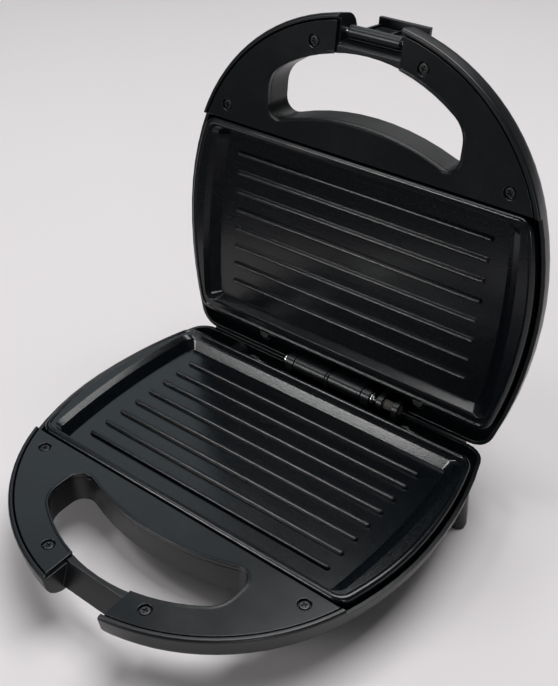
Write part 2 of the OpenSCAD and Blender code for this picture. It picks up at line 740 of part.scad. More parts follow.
module base_reflector() {
    color("gainsboro") reflector();
}
module lid_reflector() {
    color("gainsboro") reflector();
}
module base_plate_screws() {
    color("silver") plate_screw_set();
}
module lid_plate_screws() {
    color("silver") plate_screw_set();
}
module base_cover_screws() {
    color([0.06, 0.06, 0.06]) cover_screw_set();
}
module lid_cover_screws() {
    color([0.06, 0.06, 0.06]) cover_screw_set();
}

// Hinge
module hinge_pin() {
    color("silver") difference() {
        union() {
            along_x(-ear_x1 - 1.6, ear_x1 + 2, pin_r);
            along_x(-ear_x1 - 1.6, -ear_x1 - 0.1, pin_r + 1.3);
        }
        difference() {
            along_x(ear_x1 + 0.2, ear_x1 + 1.1, pin_r + 1);
            along_x(ear_x1, ear_x1 + 2, pin_r - 0.5);
        }
    }
}
module hinge_clip() {
    color("gray") difference() {
        along_x(ear_x1 + 0.25, ear_x1 + 1.05, pin_r + 1.6);
        along_x(ear_x1, ear_x1 + 2, pin_r - 0.48);
        box([ear_x1, -1.1, 0], [ear_x1 + 2, 1.1, 5]);
    }
}
module wire_sleeve() {
    color([0.55, 0.5, 0.4]) along_x(sleeve_x0 + 0.4, sleeve_x1 - 0.4, sleeve_r);
}

// Control and wiring pieces
module thermostat() {
    color("ivory") {
        translate([thermostat_x, heater_cy, plate_bottom_z - 6 - SEAT]) cylinder(r = thermostat_r, h = 6);
        box([thermostat_x - thermostat_r - 2, heater_cy - 3, plate_bottom_z - 1.2],
            [thermostat_x + thermostat_r + 2, heater_cy + 3, plate_bottom_z - SEAT]);
    }
}
module terminal_block() {
    color("whitesmoke") difference() {
        box([block_x - 15, block_y - 8, block_z], [block_x + 15, block_y + 8, reflector_z - 0.6]);
        for (x = [-10, 0, 10]) translate([block_x + x, block_y, block_z + 2.5]) cylinder(r = 2, h = 9);
    }
}
module cord_inlet() {
    color([0.08, 0.08, 0.08]) translate([-inlet_x, rear_y, inlet_z]) rotate([90, 0, 0]) difference() {
        union() {
            translate([0, 0, -inlet_flange - SEAT]) cylinder(r = inlet_r - 0.05, h = wall + 4);
            translate([0, 0, -inlet_flange - SEAT]) cylinder(r = inlet_r + 1.2, h = inlet_flange);
        }
        translate([0, 0, -3]) cylinder(r = inlet_r - 2.6, h = wall + 8);
    }
}
module thermal_fuse() {
    color("burlywood") translate([fuse_x, heater_cy - 14, plate_bottom_z - 2.2 - SEAT]) along_x(0, fuse_len, 2.2);
}
module lens(x) {
    translate([x, lens_y, -half_t - 1.2]) {
        cylinder(r = lens_r + 1, h = 1.2 - SEAT);
        difference() {
            cylinder(r = lens_r - 0.05, h = wall + 8);
            translate([0, 0, 2]) cylinder(r = lens_r - 0.9, h = wall + 8);
        }
    }
}
module power_lens() {
    color("red") lens(-lens_x);
}
module ready_lens() {
    color("green") lens(lens_x);
}
module lamp_bulbs() {
    color("orange") both_sides() translate([lens_x, lens_y, -half_t + 1]) cylinder(r = lens_r - 0.95, h = 9);
}

// Lid half
module lid_housing() {
    color([0.05, 0.055, 0.06])
    difference() {
        union() {
            difference() {
                housing_half(lid_edge_r, lid_depth);
                box([-notch_half, -half_w * 2, -half_t - 1], [notch_half, web_face_y, 5]);
            }
            ears([[mid_x1, knuckle_x1], [-knuckle_x1, -mid_x1], [sleeve_x0, sleeve_x0 + socket_len]], lid_edge_r);
            difference() {
                lid_web();
                slot_cut(0, -half_t - 1, 5);
            }
            reflector_posts(lid_depth);
        }
        along_x(-ear_x1 - 1, ear_x1 + 1, pin_r + pin_clear);
        along_x(sleeve_x0 - 1, sleeve_x0 + socket_len + 1, sleeve_r + 0.15);
        translate([0, latch_y, -latch_z])
            along_x(-notch_half - notch_wall - 1, notch_half + notch_wall + 1, latch_pin_r + 0.02);
        both_sides() translate([lens_x, lens_y, -half_t - 1]) cylinder(r = lens_r, h = wall + 4);
    }
}
module lid_web() {
    slab_x(-notch_half - 1, notch_half + 1) polygon([[web_rear_y, -3.2], [slot_front_y - wall, -3.2],
        [web_face_y, -7], [web_face_y, -half_t + 1.2], [web_face_y + 1.2, -half_t], [web_rear_y, -half_t]]);
}
module latch_pin() {
    color("silver") translate([0, latch_y, latch_z])
        along_x(-notch_half - notch_wall, notch_half + notch_wall, latch_pin_r);
}

// Latch, drawn flipped back: its plate points away from the handle
module latch() {
    inner_y = latch_off - latch_t;
    color([0.05, 0.055, 0.06]) translate([0, latch_y, latch_z]) difference() {
        union() {
            along_x(-latch_half, latch_half, latch_knuckle_r);
            slab_x(-latch_half, latch_half) polygon([[inner_y, 0], [latch_off, 0], [latch_off, latch_len],
                [-hook_reach, latch_len], [-hook_reach, latch_len - hook_t], [inner_y, latch_len - hook_t]]);
            for (x = [-latch_half, -0.8, latch_half - 1.6])
                slab_x(x, x + 1.6) polygon([[inner_y + 0.1, 2], [0.6, 6], [0.6, latch_len - hook_t + 0.1],
                    [inner_y + 0.1, latch_len - hook_t + 0.1]]);
        }
        along_x(-latch_half - 1, latch_half + 1, latch_pin_r + pin_clear);
    }
}

// Placement: the base lies as drawn, the lid is mirrored over and swung open about the hinge
module place_base() {
    translate([0, frame_y, part_z]) children();
}
module place_open() {
    translate([0, frame_y, part_z]) rotate([-open_angle, 0, 0]) children();
}
module place_lid() {
    place_open() mirror([0, 0, 1]) children();
}

place_base() base_housing();
place_base() base_handle_cover();
place_base() base_plate();
place_base() base_heater();
place_base() base_heater_clamps();
place_base() base_clamp_screws();
place_base() base_reflector();
place_base() base_plate_screws();
place_base() base_cover_screws();
place_base() foot_pads();
place_base() hinge_pin();
place_base() hinge_clip();
place_base() wire_sleeve();
place_base() thermostat();
place_base() terminal_block();
place_base() cord_inlet();
place_lid() lid_housing();
place_lid() lid_handle_cover();
place_lid() lid_plate();
place_lid() lid_heater();
place_lid() lid_heater_clamps();
place_lid() lid_clamp_screws();
place_lid() lid_reflector();
place_lid() lid_plate_screws();
place_lid() lid_cover_screws();
place_lid() thermal_fuse();
place_lid() power_lens();
place_lid() ready_lens();
place_lid() lamp_bulbs();
place_open() latch_pin();
place_open() latch();
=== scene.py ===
# %% [markdown]
# # A sandwich toaster, standing open
# The appliance is almost all black: grained plastic housings, satin handle covers and two ribbed plates with a
# non-stick coating. Black shows its shape only by its edges and its sheen, so most of the work here goes into rounded
# edges, fine grain and the light. The CAD model gives every size; this file dresses it.

# %% Load the frame
import sys

import json
import math

import bmesh
import bpy
from mathutils import Matrix, Vector
from mathutils.bvhtree import BVHTree
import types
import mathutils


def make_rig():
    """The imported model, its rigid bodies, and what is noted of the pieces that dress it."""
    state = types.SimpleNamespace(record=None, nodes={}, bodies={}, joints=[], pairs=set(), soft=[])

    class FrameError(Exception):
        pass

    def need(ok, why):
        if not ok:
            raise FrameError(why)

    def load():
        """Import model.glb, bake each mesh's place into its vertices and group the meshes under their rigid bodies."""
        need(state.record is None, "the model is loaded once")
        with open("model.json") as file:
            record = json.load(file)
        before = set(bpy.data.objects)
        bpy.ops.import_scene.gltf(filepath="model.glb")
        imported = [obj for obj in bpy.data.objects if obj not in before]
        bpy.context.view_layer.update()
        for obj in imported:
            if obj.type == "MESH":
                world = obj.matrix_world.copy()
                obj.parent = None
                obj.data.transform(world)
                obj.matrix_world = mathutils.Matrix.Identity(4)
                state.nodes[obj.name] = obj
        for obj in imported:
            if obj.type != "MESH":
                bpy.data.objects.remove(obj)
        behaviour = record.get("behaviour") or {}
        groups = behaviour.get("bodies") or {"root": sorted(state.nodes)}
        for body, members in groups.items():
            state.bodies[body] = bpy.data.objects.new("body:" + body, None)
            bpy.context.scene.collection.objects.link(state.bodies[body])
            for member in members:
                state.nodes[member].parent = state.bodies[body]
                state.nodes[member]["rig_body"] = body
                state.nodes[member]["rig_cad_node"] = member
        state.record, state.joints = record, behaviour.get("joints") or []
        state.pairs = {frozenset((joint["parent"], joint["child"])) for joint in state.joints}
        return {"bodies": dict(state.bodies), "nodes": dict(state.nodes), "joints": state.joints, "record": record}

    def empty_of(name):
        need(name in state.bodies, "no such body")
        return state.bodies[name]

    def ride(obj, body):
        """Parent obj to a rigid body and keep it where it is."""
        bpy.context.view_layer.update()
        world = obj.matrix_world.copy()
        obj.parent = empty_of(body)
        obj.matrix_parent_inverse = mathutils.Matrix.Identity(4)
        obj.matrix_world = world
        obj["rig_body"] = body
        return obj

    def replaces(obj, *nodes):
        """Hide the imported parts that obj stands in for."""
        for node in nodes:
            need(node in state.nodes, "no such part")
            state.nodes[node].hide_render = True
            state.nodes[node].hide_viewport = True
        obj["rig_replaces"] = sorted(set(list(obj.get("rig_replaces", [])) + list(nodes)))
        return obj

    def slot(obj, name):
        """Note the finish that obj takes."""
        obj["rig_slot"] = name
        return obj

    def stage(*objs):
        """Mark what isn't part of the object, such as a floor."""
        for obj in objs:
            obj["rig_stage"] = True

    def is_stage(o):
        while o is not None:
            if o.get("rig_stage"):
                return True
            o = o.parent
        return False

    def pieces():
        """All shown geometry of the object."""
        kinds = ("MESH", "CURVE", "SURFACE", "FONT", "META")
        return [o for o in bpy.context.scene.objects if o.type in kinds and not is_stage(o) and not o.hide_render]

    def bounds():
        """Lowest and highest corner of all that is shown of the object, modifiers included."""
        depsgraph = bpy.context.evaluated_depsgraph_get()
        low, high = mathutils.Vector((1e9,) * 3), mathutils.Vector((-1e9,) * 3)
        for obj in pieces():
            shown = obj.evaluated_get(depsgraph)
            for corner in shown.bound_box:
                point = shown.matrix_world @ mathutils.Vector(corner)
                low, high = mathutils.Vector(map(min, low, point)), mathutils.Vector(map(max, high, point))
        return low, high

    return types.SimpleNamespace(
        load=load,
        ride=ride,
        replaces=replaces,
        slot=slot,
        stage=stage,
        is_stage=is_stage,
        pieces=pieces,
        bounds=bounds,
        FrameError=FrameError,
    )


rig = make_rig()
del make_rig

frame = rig.load()
cad_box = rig.bounds()
MM = 0.001
print("frame:", len(frame["nodes"]), "nodes on", len(frame["bodies"]), "bodies")

# %% [markdown]
# ## The camera
# The photo was taken from the front left corner, looking down at about 35 degrees. The camera's place was found by
# matching the ends of the ribs and the rims of both plates, so it is given here as a place and three angles.

# %% Camera
CAMERA_AT = (0.27118, -0.33154, 0.41874)
CAMERA_AZIMUTH, CAMERA_ELEVATION, CAMERA_ROLL = map(math.radians, (37.036, 35.421, 0.7457))
back = Vector((math.sin(CAMERA_AZIMUTH) * math.cos(CAMERA_ELEVATION),
               -math.cos(CAMERA_AZIMUTH) * math.cos(CAMERA_ELEVATION), math.sin(CAMERA_ELEVATION)))
right = Vector((math.cos(CAMERA_AZIMUTH), math.sin(CAMERA_AZIMUTH), 0))
up = back.cross(right)
rolled_right = right * math.cos(CAMERA_ROLL) + up * math.sin(CAMERA_ROLL)
rolled_up = back.cross(rolled_right)
lens = bpy.data.cameras.new("camera")
lens.lens, lens.sensor_width, lens.clip_start = 52.316, 36, 0.01
camera = bpy.data.objects.new("camera", lens)
camera.matrix_world = Matrix.Translation(CAMERA_AT) @ Matrix((rolled_right, rolled_up, back)).transposed().to_4x4()
bpy.context.scene.collection.objects.link(camera)
bpy.context.scene.camera = camera
bpy.context.scene.view_settings.view_transform = "Standard"
print("camera at", CAMERA_AT, "lens", round(lens.lens, 1), "mm")

# %% [markdown]
# ## Where things are
# Each half is easiest to describe lying down, with the hinge axis at Y = 0, Z = 0 and Z = 0 also the plane where the
# two halves meet. The base only has to be lifted to the hinge. The lid is the same half mirrored over that plane and
# swung open by the hinge's whole range.

# %% Places of the two halves
joints = {j["name"]: j for j in frame["joints"]}
hinge = Vector(joints["lid_hinge"]["pos_m"])
latch_axis = Vector(joints["latch_hinge"]["pos_m"])
open_angle = math.radians(joints["lid_hinge"]["range_deg"][1])
PLACE = {"base": Matrix.Translation(hinge),
         "lid": Matrix.Translation(hinge) @ Matrix.Rotation(-open_angle, 4, "X") @ Matrix.Diagonal((1, 1, -1, 1))}
latch_open = Matrix.Translation(latch_axis) @ Matrix.Rotation(-open_angle, 4, "X")
print("hinge at", tuple(round(v, 4) for v in hinge), "open", round(math.degrees(open_angle), 1))

# %% [markdown]
# ## Small tools for meshes
# Every piece starts as a bmesh and ends in `finish_piece`, which puts it in place, turns its faces outwards, gives it
# its material and lets it ride on its body.

# %% Mesh helpers
def finish_piece(bm, name, body, place, material, slot, replaces=(), smooth=35):
    """Turns a bmesh into a piece that rides on a body and stands for its CAD nodes."""
    bmesh.ops.transform(bm, matrix=place, verts=bm.verts)
    bmesh.ops.remove_doubles(bm, verts=bm.verts, dist=1e-6)
    bmesh.ops.recalc_face_normals(bm, faces=bm.faces)
    mesh = bpy.data.meshes.new(name)
    bm.to_mesh(mesh)
    bm.free()
    mesh.materials.append(material)
    for face in mesh.polygons:
        face.use_smooth = True
    mesh.set_sharp_from_angle(angle=math.radians(smooth))
    piece = bpy.data.objects.new(name, mesh)
    bpy.context.scene.collection.objects.link(piece)
    shading = piece.modifiers.new("flats_stay_flat", "WEIGHTED_NORMAL")
    shading.keep_sharp, shading.weight = True, 80
    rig.ride(piece, body)
    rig.slot(piece, slot)
    if replaces:
        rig.replaces(piece, *replaces)
    print(name, len(mesh.polygons), "faces")
    return piece


# %% [markdown]
# ## Maths on surfaces
# A finish is a recipe: a few constants for the shader and one or two patterns that vary over the surface. The class
# `Shade` wraps one output of a node, so that patterns can be added and multiplied like numbers, and `Recipe` makes
# the nodes. Patterns read Object coordinates, which are metres here because every piece sits at the origin.

# %% Shader maths
class Shade:
    """A value that varies over a surface. Python's operators on it add Math nodes."""

    def __init__(self, recipe, socket):
        self.recipe, self.socket = recipe, socket

    def maths(self, operation, *values):
        return self.recipe.node("ShaderNodeMath", {"operation": operation}, dict(enumerate(values)))

    def __add__(self, other):
        return self.maths("ADD", self, other)

    def __sub__(self, other):
        return self.maths("SUBTRACT", self, other)

    def __rsub__(self, other):
        return self.maths("SUBTRACT", other, self)

    def __mul__(self, other):
        return self.maths("MULTIPLY", self, other)

    __radd__, __rmul__ = __add__, __mul__


class Recipe:
    """One finish. Constants go straight on the shader, and patterns are linked to it."""

    def __init__(self, name, **constants):
        self.material = bpy.data.materials.new(name)
        self.material.use_nodes = True
        self.tree = self.material.node_tree
        self.surface = self.tree.nodes["Principled BSDF"]
        for socket, value in constants.items():
            self.feed(self.surface.inputs[socket.replace("_", " ")], value)
        self.here = self.node("ShaderNodeTexCoord", output="Object")

    def feed(self, socket, value):
        """Links a pattern to a socket, or sets a plain value on it."""
        if isinstance(value, Shade):
            self.tree.links.new(value.socket, socket)
        else:
            socket.default_value = value

    def node(self, kind, settings=None, inputs=None, output=0):
        """Any node: its settings first, a ramp's stops with them, then its inputs."""
        made = self.tree.nodes.new(kind)
        for name, value in (settings or {}).items():
            if name != "stops":
                setattr(made, name, value)
                continue
            ramp = made.color_ramp.elements
            while len(ramp) < len(value):
                ramp.new(1)
            for stop, (position, tone) in zip(ramp, value):
                stop.position, stop.color = position, (tone, tone, tone, 1)
        for name, value in (inputs or {}).items():
            self.feed(made.inputs[name], value)
        return Shade(self, made.outputs[output])

    def noise(self, scale, detail=2, roughness=0.5, stretch=None):
        """Noise between 0 and 1 around 0.5. stretch squeezes it along one direction."""
        place = self.here
        if stretch:
            place = self.node("ShaderNodeMapping", None, {"Vector": self.here, "Scale": stretch})
        return self.node("ShaderNodeTexNoise", None,
                         {"Vector": place, "Scale": scale, "Detail": detail, "Roughness": roughness})

    def steps(self, value, *stops):
        """A ramp from tone to tone."""
        return self.node("ShaderNodeValToRGB", {"stops": stops}, {"Fac": value})

    def blend(self, factor, first, second):
        """One colour fading into another."""
        return self.node("ShaderNodeMix", {"data_type": "RGBA"}, {0: factor, 6: first, 7: second}, output=2)

    def relief(self, height, depth):
        """A bump of that depth in metres where height is 1."""
        bump = self.node("ShaderNodeBump", None, {"Height": height, "Strength": 1.0, "Distance": depth},
                         output="Normal")
        self.feed(self.surface.inputs["Normal"], bump)

    def colour(self, value):
        self.feed(self.surface.inputs["Base Color"], value)

    def gloss(self, value):
        self.feed(self.surface.inputs["Roughness"], value)


def tone(red, green, blue):
    """A colour that hides what is under it."""
    return (red, green, blue, 1.0)


# %% [markdown]
# ## The moulded plastic
# The housings come out of a spark-eroded mould, which leaves an even grain of about a third of a millimetre. A
# photograph of grain would repeat and stretch, so fine noise drives a shallow bump instead, and a second, slower noise
# varies the gloss the way handling and the mould do.

# %% Moulded plastic
def moulded_plastic(name, deep, raised, rough, grain, specular):
    """Black plastic with a spark-eroded grain."""
    recipe = Recipe(name, Specular_IOR_Level=specular)
    fine = recipe.noise(2600, 2, 0.6)
    slow = recipe.noise(35, 3, 0.55)
    recipe.colour(recipe.blend(recipe.steps(fine, (0.35, 0.0), (0.7, 1.0)), deep, raised))
    recipe.gloss((slow - 0.5) * 0.16 + (fine - 0.5) * 0.1 + rough)
    recipe.relief(fine, grain)
    return recipe.material


housing_plastic = moulded_plastic("housing_plastic", tone(0.0015, 0.0024, 0.0034), tone(0.005, 0.0064, 0.0078),
                                  rough=0.33, grain=0.00004, specular=0.42)
cover_plastic = moulded_plastic("cover_plastic", tone(0.0025, 0.0037, 0.005), tone(0.004, 0.0055, 0.0068),
                                rough=0.25, grain=0.00001, specular=0.45)
print("plastics:", housing_plastic.name, cover_plastic.name)

# %% [markdown]
# ## The non-stick coating
# The plates are cast aluminium, sprayed with a dark coating and baked. Spray dries with an orange peel of about a
# millimetre and with tiny mineral flecks, which glitter where a wall catches the lamp. One noise makes the peel, and a
# finer one is cut off at a high value, so that only small dots of it lighten the colour and roughen the gloss.

# %% Non-stick coating
def nonstick_coating():
    """A dark sprayed coating with peel and flecks."""
    recipe = Recipe("coated_plate", Specular_IOR_Level=0.42)
    peel = recipe.noise(900, 2, 0.5)
    fleck = recipe.steps(recipe.noise(3300, 1, 0.4), (0.6, 0.0), (0.68, 1.0))
    slow = recipe.noise(28, 3, 0.5)
    recipe.colour(recipe.blend(fleck * 0.8, tone(0.0012, 0.0022, 0.0034), tone(0.0125, 0.0155, 0.0175)))
    recipe.gloss((slow - 0.5) * 0.08 + fleck * 0.12 + (peel - 0.5) * 0.06 + 0.18)
    recipe.relief(peel + fleck * 0.4, 0.00002)
    return recipe.material


coated_plate = nonstick_coating()
print("coating:", coated_plate.name)

# %% [markdown]
# ## Bare metals
# Bare metal is told from painted metal by its reflections: full Metallic, a grey base and fine scratches along the way
# it was drawn or turned. Hidden pieces get a full finish too, because the model is also seen taken apart.

# %% Bare metals
def bare_metal(name, colour_low, colour_high, rough, along=(1, 1, 1), marks=900):
    """Steel or aluminium with fine marks drawn out along one direction."""
    recipe = Recipe(name, Metallic=1.0)
    marked = recipe.noise(marks, 3, 0.6, stretch=along)
    recipe.colour(recipe.blend(marked, colour_low, colour_high))
    recipe.gloss((marked - 0.5) * 0.25 + rough)
    recipe.relief(marked, 0.00001)
    return recipe.material


heater_tube = bare_metal("heater_tube", tone(0.16, 0.15, 0.14), tone(0.26, 0.25, 0.24), 0.42, (0.15, 1, 1))
sheet_steel = bare_metal("sheet_steel", tone(0.42, 0.43, 0.44), tone(0.55, 0.56, 0.57), 0.36, (0.1, 1, 1))
plain_screws = bare_metal("plain_screws", tone(0.45, 0.45, 0.44), tone(0.6, 0.6, 0.58), 0.3)
pin_steel = bare_metal("pin_steel", tone(0.4, 0.4, 0.4), tone(0.58, 0.58, 0.57), 0.28, (1, 0.12, 0.12))
black_screws = bare_metal("black_screws", tone(0.03, 0.03, 0.032), tone(0.07, 0.07, 0.072), 0.4)
reflector_sheet = bare_metal("reflector_sheet", tone(0.7, 0.71, 0.72), tone(0.82, 0.83, 0.84), 0.25, (0.08, 1, 1), 500)


# %% [markdown]
# ## Rubber, ceramic and lamps
# Dense materials look alike at arm's length and differ in colour and gloss. One recipe serves them all, with its colour
# and relief varied a little by one noise. Lenses and bulbs also let light through, which a shader constant gives.

# %% Rubber, ceramic and the other fills
def plain_fill(name, low, high, rough, scale, depth, **constants):
    """A dense material whose colour and surface vary only a little."""
    recipe = Recipe(name, **constants)
    grain = recipe.noise(scale, 3, 0.6)
    recipe.colour(recipe.blend(grain, low, high))
    recipe.gloss((grain - 0.5) * 0.15 + rough)
    recipe.relief(grain, depth)
    return recipe.material


pad_rubber = plain_fill("pad_rubber", tone(0.012, 0.012, 0.012), tone(0.025, 0.025, 0.025), 0.75, 1500, 0.00005)
gland_rubber = plain_fill("gland_rubber", tone(0.01, 0.01, 0.01), tone(0.02, 0.02, 0.02), 0.6, 1800, 0.00003)
ceramic_white = plain_fill("ceramic_white", tone(0.62, 0.6, 0.55), tone(0.74, 0.73, 0.69), 0.5, 700, 0.00003)
block_plastic = plain_fill("block_plastic", tone(0.6, 0.6, 0.58), tone(0.7, 0.7, 0.68), 0.4, 400, 0.00001)
red_lens = plain_fill("red_lens", tone(0.4, 0.01, 0.008), tone(0.55, 0.02, 0.012), 0.12, 300, 0.000002,
                      Transmission_Weight=0.6, IOR=1.49)
green_lens = plain_fill("green_lens", tone(0.01, 0.22, 0.03), tone(0.015, 0.32, 0.05), 0.12, 300, 0.000002,
                        Transmission_Weight=0.6, IOR=1.49)
lamp_glass = plain_fill("lamp_glass", tone(0.8, 0.5, 0.3), tone(0.9, 0.62, 0.42), 0.08, 300, 0.000002,
                        Transmission_Weight=0.7, IOR=1.5)


# %% [markdown]
# ## The braided sleeve
# The wires cross from base to lid in a woven sleeve. Each strand could be a thin curve, but the sleeve is only six
# millimetres thick, so two sets of bands that cross at an angle give the weave, and the higher strand wins where they
# cross.

# %% Braided sleeve
def braid():
    """Two sets of strands that cross over each other round a rod along X."""
    recipe = Recipe("sleeve_fabric", Specular_IOR_Level=0.3)
    settings = {"wave_type": "BANDS", "bands_direction": "X", "wave_profile": "SIN"}
    strands = []
    for lean in (0.7, -0.7):
        place = recipe.node("ShaderNodeMapping", None, {"Vector": recipe.here, "Rotation": (0, lean, lean)})
        strands.append(recipe.node("ShaderNodeTexWave", settings, {"Vector": place, "Scale": 260.0, "Distortion": 0.6},
                                   output="Fac"))
    woven = strands[0].maths("MAXIMUM", *strands)
    recipe.colour(recipe.blend(woven, tone(0.02, 0.019, 0.017), tone(0.07, 0.066, 0.06)))
    recipe.gloss(woven * 0.2 + 0.6)
    recipe.relief(woven, 0.0002)
    return recipe.material


sleeve_fabric = braid()
print("finishes:", len(bpy.data.materials))

# %% [markdown]
# ## The ribbed plates
# A plate is one casting: a bead round the edge, a narrow land inside it, a tray with sloping walls and eight low ribs
# that press the stripes into the bread. It could be carved from a block with booleans, but every edge would stay
# sharp. Here the outline is spun from its arcs and filled with one face, and that face is inset again and again, each
# time a little deeper, so that the face's rim traces the profile of the casting with all its small radii.

# %% Profiles and outlines
# X of the centre and radius of the two arcs that make a side of the rim, which meet at its widest place
FRONT_ARC, REAR_ARC = (-55.026, 170.426), (-129.0, 244.4)
APEX_Y = -81.5


def spun(bm, corner, centre, rear_y, steps):
    """Spins the vertex corner about a centre until it reaches rear_y, and returns the last vertex."""
    x, y = corner.co.x - centre[0] * MM, corner.co.y - centre[1] * MM
    radius = math.hypot(x, y)
    turn = math.asin((rear_y - centre[1]) * MM / radius) - math.atan2(y, x)
    bmesh.ops.spin(bm, geom=[corner], cent=(centre[0] * MM, centre[1] * MM, 0), axis=(0, 0, 1), angle=turn,
                   steps=steps, use_duplicate=False)
    bm.verts.ensure_lookup_table()
    return bm.verts[-1]


def filled_outline(bm, arcs, front_y, rear_y, z, corner, steps):
    """A face between two mirrored sides, each made of one or two arcs, with rounded corners."""
    start = len(bm.verts)
    first, reach = arcs[0]
    x = first[0] + math.sqrt(reach ** 2 - (front_y - first[1]) ** 2)
    front = last = bm.verts.new((x * MM, front_y * MM, 0))
    for (centre, _), end_y in zip(arcs, (APEX_Y, rear_y) if len(arcs) == 2 else (rear_y,)):
        last = spun(bm, last, centre, end_y, steps)
    bm.verts.ensure_lookup_table()
    side = bm.verts[start:]
    edges = list({e for v in side for e in v.link_edges})
    made = bmesh.ops.mirror(bm, geom=side + edges, matrix=Matrix.Identity(4), merge_dist=-1, axis="X")["geom"]
    twins = [v for v in made if isinstance(v, bmesh.types.BMVert) and v not in side]
    edges += [e for e in made if isinstance(e, bmesh.types.BMEdge) and e not in edges]
    for own, pick in ((front, min), (last, max)):
        edges.append(bm.edges.new((own, pick(twins, key=lambda v: v.co.y))))
    face = bmesh.ops.contextual_create(bm, geom=edges)["faces"][0]
    ends = [v for v in face.verts if min(abs(v.co.y - front_y * MM), abs(v.co.y - rear_y * MM)) < 1e-6]
    bmesh.ops.bevel(bm, geom=ends, offset=corner * MM, offset_type="OFFSET", affect="VERTICES", segments=5,
                    profile=0.5, material=-1, clamp_overlap=True)
    face = max((f for f in bm.faces if all(abs(v.co.z) < 1e-9 for v in f.verts)), key=lambda f: len(f.verts))
    bmesh.ops.translate(bm, vec=(0, 0, z * MM), verts=face.verts)
    return face


def traced(bm, face, profile):
    """Insets a face step by step. Each step of the profile is how far in and how far up, in millimetres."""
    for inwards, rise in profile:
        bmesh.ops.inset_region(bm, faces=[face], thickness=inwards * MM, use_even_offset=True, use_boundary=True)
        bmesh.ops.translate(bm, vec=(0, 0, rise * MM), verts=face.verts)
    return face


def quarter(radius, start, end, steps):
    """Steps along a round edge of that radius, from one slope angle to another, as a profile."""
    angles = [math.radians(start + (end - start) * i / steps) for i in range(steps + 1)]
    return [(radius * abs(math.cos(a) - math.cos(b)), radius * (math.sin(b) - math.sin(a)))
            for a, b in zip(angles, angles[1:])]


# %% [markdown]
# ## One rib and one lug
# A rib is a low ridge that fades into the floor and has round ends. A circle pulled apart in the middle has just that
# outline, and tracing its rim upwards gives the soft section. A lug is a disc of which one half is pulled to the wall.

# %% One rib
def rib(bm, y, floor_z):
    """A low ridge with rounded ends: a stretched circle, traced up to its crest."""
    turned = Matrix.Translation((0, y * MM, floor_z * MM)) @ Matrix.Rotation(math.radians(11.25), 4, "Z")
    ring = bmesh.ops.create_circle(bm, cap_ends=True, segments=16, radius=1.8 * MM, matrix=turned)["verts"]
    for side in (1, -1):
        bmesh.ops.translate(bm, vec=(side * 84.2 * MM, 0, 0), verts=[v for v in ring if v.co.x * side > 0])
    face = ring[0].link_faces[0]
    base = list(face.edges)
    traced(bm, face, [(0.2, 0.12), (0.25, 0.6), (0.2, 0.75), (0.25, 0.5), (0.3, 0.3), (0.35, 0.12)])
    bmesh.ops.contextual_create(bm, geom=base)


# %% One lug
def lug(bm, x, y, wall_y):
    """A tab with a round end, under which a screw boss stands."""
    tab = bmesh.ops.create_cone(bm, cap_ends=True, segments=32, radius1=5.5 * MM, radius2=5.5 * MM, depth=2.4 * MM,
                                matrix=Matrix.Translation((x * MM, y * MM, -10.2 * MM)))["verts"]
    towards = 1 if wall_y > y else -1
    far = [v for v in tab if (v.co.y - y * MM) * towards > 1e-6]
    bmesh.ops.translate(bm, vec=(0, (wall_y - y) * MM, 0), verts=far)


# %% [markdown]
# ## Both plates
# The rim and the tray are traced apart, because the tray's sides bulge more than the rim's. A flat land of triangles
# joins them, a wall thickness turns the skin into a casting, and ribs, lugs and the studs for the heater are added. The
# plates of base and lid are the same casting.

# %% Both plates
RIBS, RIB_PITCH, FIRST_RIB_Y = 8, 12.4, -34.7
RIM_GROWTH = 1.2


